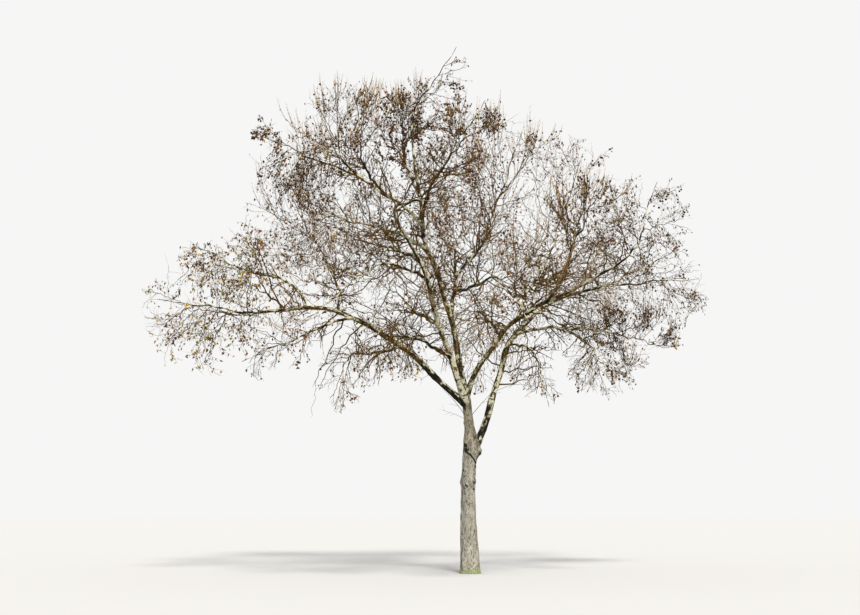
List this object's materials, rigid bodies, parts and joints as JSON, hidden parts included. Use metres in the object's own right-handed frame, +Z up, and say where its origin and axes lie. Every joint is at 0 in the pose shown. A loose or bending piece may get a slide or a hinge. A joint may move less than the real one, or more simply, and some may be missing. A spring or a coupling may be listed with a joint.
{
  "type": "bare winter tree",
  "caption": "Bare deciduous tree in winter: a pale trunk forks low into long arching boughs, under a broad open crown of fine crooked twigs.",
  "frame": {"origin": "where the trunk's axis meets the ground, on the flat cut under the trunk", "axes": "+Z up, +X towards the tree's right as seen from its front, +Y towards its back"},
  "size_m": [12.5224, 10.4584, 12.1],
  "materials": {
    "trunk_bark": "pale cream and grey bark, matt",
    "bough_bark": "pale olive bark with dark patches, matt",
    "brown_twigs": "brown twigs, matt",
    "grey_twigs": "grey-brown twigs, matt",
    "ochre_twigs": "yellow-brown twigs, matt"
  },
  "bodies": {
    "root": {"trunk": "trunk_bark", "centre_stem": "bough_bark", "pale_stem": "bough_bark", "left_bough": "bough_bark", "inner_right": "bough_bark", "right_bough": "bough_bark", "right_centre": "bough_bark", "left_arch": "bough_bark", "left_low": "bough_bark", "left_under": "bough_bark", "left_front": "bough_bark", "left_riser": "bough_bark", "left_back": "bough_bark", "mid_left_front": "bough_bark", "mid_left_back": "bough_bark", "high_left": "bough_bark", "upper_left": "bough_bark", "shoulder_left": "bough_bark", "upper_mid": "bough_bark", "leader_left": "bough_bark", "high_right": "bough_bark", "high_right_back": "bough_bark", "mid_right": "bough_bark", "centre_drop": "bough_bark", "right_riser": "bough_bark", "right_riser_front": "bough_bark", "right_low": "bough_bark", "right_drop": "bough_bark", "right_skirt": "bough_bark", "back_right": "bough_bark", "centre_stem_twigs": "brown_twigs", "pale_stem_twigs": "brown_twigs", "left_bough_twigs": "ochre_twigs", "inner_right_twigs": "brown_twigs", "right_bough_twigs": "brown_twigs", "right_centre_twigs": "brown_twigs", "left_arch_twigs": "ochre_twigs", "left_low_twigs": "brown_twigs", "left_under_twigs": "brown_twigs", "left_front_twigs": "brown_twigs", "left_riser_twigs": "brown_twigs", "left_back_twigs": "brown_twigs", "mid_left_front_twigs": "brown_twigs", "mid_left_back_twigs": "brown_twigs", "high_left_twigs": "brown_twigs", "upper_left_twigs": "brown_twigs", "shoulder_left_twigs": "brown_twigs", "upper_mid_twigs": "brown_twigs", "leader_left_twigs": "brown_twigs", "high_right_twigs": "brown_twigs", "high_right_back_twigs": "brown_twigs", "mid_right_twigs": "brown_twigs", "centre_drop_twigs": "brown_twigs", "right_riser_twigs": "brown_twigs", "right_riser_front_twigs": "brown_twigs", "right_low_twigs": "brown_twigs", "right_drop_twigs": "brown_twigs", "right_skirt_twigs": "brown_twigs", "back_right_twigs": "brown_twigs"}
  },
  "joints": []
}
